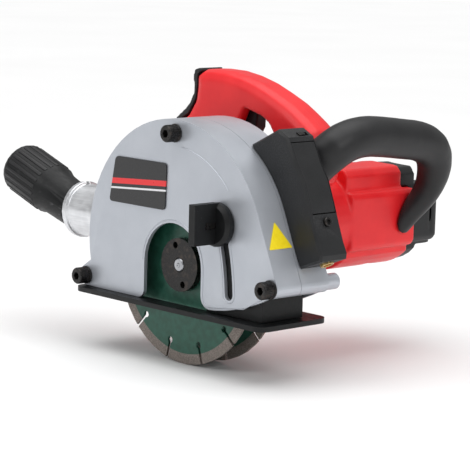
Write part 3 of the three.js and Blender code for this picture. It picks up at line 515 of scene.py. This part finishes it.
def badge_plate():
    """The badge with round corners."""
    bm = cad_mesh("badge")
    along_y = 0.99
    corners = [
        edge for edge in bm.edges
        if abs((edge.verts[0].co - edge.verts[1].co).normalized().y) > along_y
    ]
    bevelled(bm, corners, offset=3.2 * MM, segments=5)
    belongs(rounded(shaped(bm, "badge_body", BADGE), width=0.25), "badge")


def laser_screw():
    """Cap screw with a socket."""
    bm = cad_mesh("laser_box_screw")
    out = max(bm.faces, key=lambda f: f.calc_center_median().x * f.normal.x).normal.copy()
    head = max(bm.faces, key=lambda f: (f.normal.dot(out), f.calc_center_median().dot(out)))
    rim, draft, socket = 1.1 * MM, 0.05 * MM, 1.4 * MM
    bmesh.ops.inset_region(bm, faces=[head], thickness=rim)
    bmesh.ops.inset_region(bm, faces=[head], thickness=draft, depth=-socket)
    piece = shaped(bm, "laser_box_screw_body", FINISH["black_steel"])
    belongs(rounded(piece, width=0.2), "laser_box_screw")


def ribs(name, node, origin, direction, radius, start, end, count, width, height):
    """Ribs along a round piece, evenly round it, from start to end along its direction; in metres."""
    direction = Vector(direction).normalized()
    bm = bmesh.new()
    cube = bmesh.ops.create_cube(bm, size=1.0)["verts"]
    bmesh.ops.scale(bm, verts=cube, vec=(height * 2, width, end - start))
    bevelled(bm, bm.edges[:], offset=width * 0.3, segments=2)
    bmesh.ops.translate(bm, verts=bm.verts, vec=(radius, 0, (start + end) / 2))
    bmesh.ops.spin(bm, geom=bm.verts[:] + bm.edges[:] + bm.faces[:], cent=(0, 0, 0), axis=(0, 0, 1),
                   angle=math.tau * (count - 1) / count, steps=count - 1, use_duplicate=True)
    turn = Vector((0, 0, 1)).rotation_difference(direction).to_matrix().to_4x4()
    bm.transform(Matrix.Translation(origin) @ turn)
    belongs(shaped(bm, name, FINISH[SLOT_OF[node]]), node, replaces=False)


def all_ribs():
    """Ribs along the hose sleeve, and the knurl of the three cover bolts."""
    tilt = math.radians(19)
    elbow = Vector(JOINTS["dust_swivel"]["pos_m"]) + Vector((-6 * MM, 0, 0))
    up = (-math.cos(tilt), 0, math.sin(tilt))
    ribs("sleeve_ribs", "dust_adaptor", elbow, up, radius=20.2 * MM, start=36 * MM, end=74 * MM,
         count=22, width=3.2 * MM, height=0.7 * MM)
    for node in ("top_bolt", "pivot_bolt", "front_bolt"):
        low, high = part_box(node)
        origin = Vector(((low[0] + high[0]) / 2, low[1], (low[2] + high[2]) / 2))
        ribs(node + "_knurl", node, origin, (0, 1, 0), radius=6.15 * MM, start=0.9 * MM, end=8.2 * MM,
             count=30, width=0.7 * MM, height=0.22 * MM)


def relief_line():
    """A low raised line on the cover's face, round about the middle of the guard's rim."""
    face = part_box("guard_cover")[0][1]
    middle = Vector((1 * MM, face, SPINDLE.z + 12 * MM))
    bm = bmesh.new()
    section = bmesh.ops.create_circle(bm, segments=10, radius=BEAD_R * MM, cap_ends=False)["verts"]
    start, end, sweep = math.radians(41), math.radians(84), 77 * MM
    bmesh.ops.translate(bm, verts=section, vec=(sweep, 0, 0))
    bmesh.ops.spin(bm, geom=bm.edges[:], cent=(0, 0, 0), axis=(0, 1, 0), angle=start - end, steps=40)
    bmesh.ops.holes_fill(bm, edges=[edge for edge in bm.edges if edge.is_boundary])
    bmesh.ops.recalc_face_normals(bm, faces=bm.faces)
    bm.transform(Matrix.Translation(middle) @ Matrix.Rotation(-start, 4, "Y"))
    belongs(shaped(bm, "cover_relief", FINISH["cast_guard"]), "guard_cover", replaces=False)


def sticker():
    """A plain yellow triangle on the flat front edge of the guard."""
    out = Vector((0.921, 0, 0.389))
    centre = SPINDLE + Vector((97.8, -12.6, 30.9)) * MM
    source = frame["nodes"]["guard_cover"]
    front = max(out.dot(source.matrix_world @ vert.co) for vert in source.data.vertices)
    centre += out * (front - out.dot(centre))
    bm = bmesh.new()
    bmesh.ops.create_circle(bm, segments=3, radius=13.2 * MM, cap_ends=True)
    bevelled(bm, bm.verts[:], offset=1.2 * MM, segments=4, affect="VERTICES")
    bmesh.ops.solidify(bm, geom=bm.faces[:], thickness=0.12 * MM)
    bmesh.ops.recalc_face_normals(bm, faces=bm.faces)
    along = Vector((0, 1, 0))
    up = out.cross(along)
    basis = Matrix((along, up, out)).transposed().to_4x4()
    bm.transform(Matrix.Translation(centre) @ basis)
    belongs(shaped(bm, "rim_sticker", YELLOW), "guard_cover", replaces=False)


def finish_cad_nodes():
    """Every node that stays as the CAD made it gets its finish."""
    for node, thing in frame["nodes"].items():
        thing.data.materials.clear()
        thing.data.materials.append(FINISH[SLOT_OF[node]])


FLOOR_HALF = 6.0
FLOOR_GAP = 0.0003
AIM = (0, 0.1, 0.05)
ROOM_LIGHT, ROOM_SEEN = 0.42, 1.0


def make_floor():
    low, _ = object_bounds()
    bm = bmesh.new()
    bmesh.ops.create_grid(bm, x_segments=1, y_segments=1, size=FLOOR_HALF)
    bmesh.ops.translate(bm, verts=bm.verts, vec=(0, 0, low[2] - FLOOR_GAP))
    s = Shade("floor", roughness=0.9)
    s.set("Base Color", s.blend(s.ramp(s.noise(3, 2), 0.3, 0.7), (0.86, 0.86, 0.86), (0.88, 0.88, 0.88)))
    shaped(bm, "floor", s.material)


def make_light(name, place, size, power):
    data = bpy.data.lights.new(name, "AREA")
    data.size = size
    data.energy = power
    made = bpy.data.objects.new(name, data)
    made.location = place
    made.rotation_mode = "QUATERNION"
    made.rotation_quaternion = (Vector(AIM) - Vector(place)).to_track_quat("-Z", "Y")
    bpy.context.collection.objects.link(made)


def make_lights():
    """A white room that lights less than it shows, a wide soft sun overhead and two soft lights in front."""
    world = bpy.data.worlds.new("studio")
    world.use_nodes = True
    tree = world.node_tree
    background = tree.nodes["Background"]
    background.inputs["Color"].default_value = (1, 1, 1, 1)
    seen = tree.nodes.new("ShaderNodeLightPath")
    strength = tree.nodes.new("ShaderNodeMapRange")
    strength.inputs["To Min"].default_value = ROOM_LIGHT
    strength.inputs["To Max"].default_value = ROOM_SEEN
    tree.links.new(seen.outputs["Is Camera Ray"], strength.inputs["Value"])
    tree.links.new(strength.outputs["Result"], background.inputs["Strength"])
    bpy.context.scene.world = world
    sky = bpy.data.lights.new("top", "SUN")
    sky.energy = 2.3
    sky.angle = math.radians(70)
    bpy.context.collection.objects.link(bpy.data.objects.new("top", sky))
    make_light("key", (-0.5, -1.3, 0.9), size=0.7, power=5)
    make_light("front", (1.6, -0.1, 0.9), size=0.6, power=6)
    bpy.context.scene.view_settings.view_transform = "Standard"


def make_camera():
    """A long lens, slightly above the machine and off its front corner."""
    azimuth, elevation, roll = math.radians(46.6), math.radians(8.70), math.radians(1.47)
    level = math.cos(elevation)
    back = Vector((math.sin(azimuth) * level, -math.cos(azimuth) * level, math.sin(elevation)))
    data = bpy.data.cameras.new("camera")
    data.sensor_width = 36
    data.lens = 156.9
    data.clip_end = 50
    made = bpy.data.objects.new("camera", data)
    made.location = (1.11276, -0.98556, 0.28442)
    made.rotation_mode = "QUATERNION"
    turn = Matrix.Rotation(roll, 4, "Z").to_quaternion()
    made.rotation_quaternion = (-back).to_track_quat("-Z", "Y") @ turn
    bpy.context.collection.objects.link(made)
    bpy.context.scene.camera = made


finish_cad_nodes()
for node, width in EDGED.items():
    edged(node, width, material=FINISH["black_base"] if node in NEAR_BLACK else None)
for node, (voxel, rounds) in MOULDED.items():
    moulded(node, voxel, rounds)
main_handle()
cover_beads()
badge_plate()
laser_screw()
all_ribs()
relief_line()
sticker()
make_floor()
make_lights()
make_camera()
